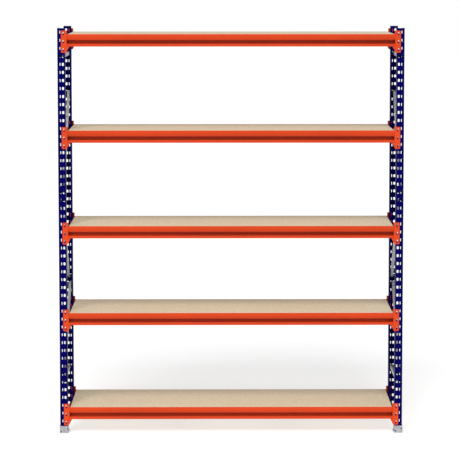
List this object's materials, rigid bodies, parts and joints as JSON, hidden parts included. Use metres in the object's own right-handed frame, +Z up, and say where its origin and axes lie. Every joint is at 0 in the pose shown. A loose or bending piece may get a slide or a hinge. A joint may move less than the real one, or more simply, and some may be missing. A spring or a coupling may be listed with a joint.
{
  "type": "boltless steel shelving",
  "caption": "Boltless steel shelving bay: perforated navy uprights with braced end frames, orange beams that hook into the slots, and chipboard decks behind the beams' lips.",
  "frame": {"origin": "centre of the footprint, on the floor under the feet", "axes": "+Z up, the front face looks towards -Y, +X to the right seen from the front"},
  "size_m": [2.1664, 0.6062, 2.554],
  "materials": {
    "navy_paint": "navy powder coat, satin",
    "orange_paint": "orange powder coat, satin",
    "bright_orange_paint": "orange powder coat, a shade brighter, satin",
    "chipboard": "raw sanded chipboard",
    "galvanised": "galvanised with a faint spangle",
    "zinc": "bright zinc plate",
    "black_nylon": "black moulded nylon"
  },
  "bodies": {
    "frames": {"upright_front_left": "navy_paint", "upright_front_right": "navy_paint", "upright_back_left": "navy_paint", "upright_back_right": "navy_paint", "foot_front_left": "galvanised", "foot_front_right": "galvanised", "foot_back_left": "galvanised", "foot_back_right": "galvanised", "foot_bolts": "zinc", "foot_nuts": "zinc", "brace_left_top": "galvanised", "brace_left_diagonal_1": "galvanised", "brace_left_diagonal_2": "galvanised", "brace_left_diagonal_3": "galvanised", "brace_left_bottom": "galvanised", "brace_right_top": "galvanised", "brace_right_diagonal_1": "galvanised", "brace_right_diagonal_2": "galvanised", "brace_right_diagonal_3": "galvanised", "brace_right_bottom": "galvanised", "brace_pins_left": "zinc", "brace_pins_right": "zinc", "brace_bushes_left": "black_nylon", "brace_bushes_right": "black_nylon"},
    "level_1": {"beam_front_1": "orange_paint", "beam_back_1": "orange_paint", "connectors_front_1": "bright_orange_paint", "connectors_back_1": "bright_orange_paint", "deck_supports_1": "galvanised"},
    "board_1": {"deck_1": "chipboard"},
    "level_2": {"beam_front_2": "orange_paint", "beam_back_2": "orange_paint", "connectors_front_2": "bright_orange_paint", "connectors_back_2": "bright_orange_paint", "deck_supports_2": "galvanised"},
    "board_2": {"deck_2": "chipboard"},
    "level_3": {"beam_front_3": "orange_paint", "beam_back_3": "orange_paint", "connectors_front_3": "bright_orange_paint", "connectors_back_3": "bright_orange_paint", "deck_supports_3": "galvanised"},
    "board_3": {"deck_3": "chipboard"},
    "level_4": {"beam_front_4": "orange_paint", "beam_back_4": "orange_paint", "connectors_front_4": "bright_orange_paint", "connectors_back_4": "bright_orange_paint", "deck_supports_4": "galvanised"},
    "board_4": {"deck_4": "chipboard"},
    "level_5": {"beam_front_5": "orange_paint", "beam_back_5": "orange_paint", "connectors_front_5": "bright_orange_paint", "connectors_back_5": "bright_orange_paint", "deck_supports_5": "galvanised"},
    "board_5": {"deck_5": "chipboard"}
  },
  "joints": [
    {"name": "level_1_unhook", "type": "slide", "parent": "frames", "child": "level_1", "axis": [0, 0, 1], "range_m": [0, 0.009]},
    {"name": "board_1_lift_out", "type": "slide", "parent": "level_1", "child": "board_1", "axis": [0, 0, 1], "range_m": [0, 0.2]},
    {"name": "level_2_unhook", "type": "slide", "parent": "frames", "child": "level_2", "axis": [0, 0, 1], "range_m": [0, 0.009]},
    {"name": "board_2_lift_out", "type": "slide", "parent": "level_2", "child": "board_2", "axis": [0, 0, 1], "range_m": [0, 0.2]},
    {"name": "level_3_unhook", "type": "slide", "parent": "frames", "child": "level_3", "axis": [0, 0, 1], "range_m": [0, 0.009]},
    {"name": "board_3_lift_out", "type": "slide", "parent": "level_3", "child": "board_3", "axis": [0, 0, 1], "range_m": [0, 0.2]},
    {"name": "level_4_unhook", "type": "slide", "parent": "frames", "child": "level_4", "axis": [0, 0, 1], "range_m": [0, 0.009]},
    {"name": "board_4_lift_out", "type": "slide", "parent": "level_4", "child": "board_4", "axis": [0, 0, 1], "range_m": [0, 0.2]},
    {"name": "level_5_unhook", "type": "slide", "parent": "frames", "child": "level_5", "axis": [0, 0, 1], "range_m": [0, 0.009]},
    {"name": "board_5_lift_out", "type": "slide", "parent": "level_5", "child": "board_5", "axis": [0, 0, 1], "range_m": [0, 0.2]}
  ]
}
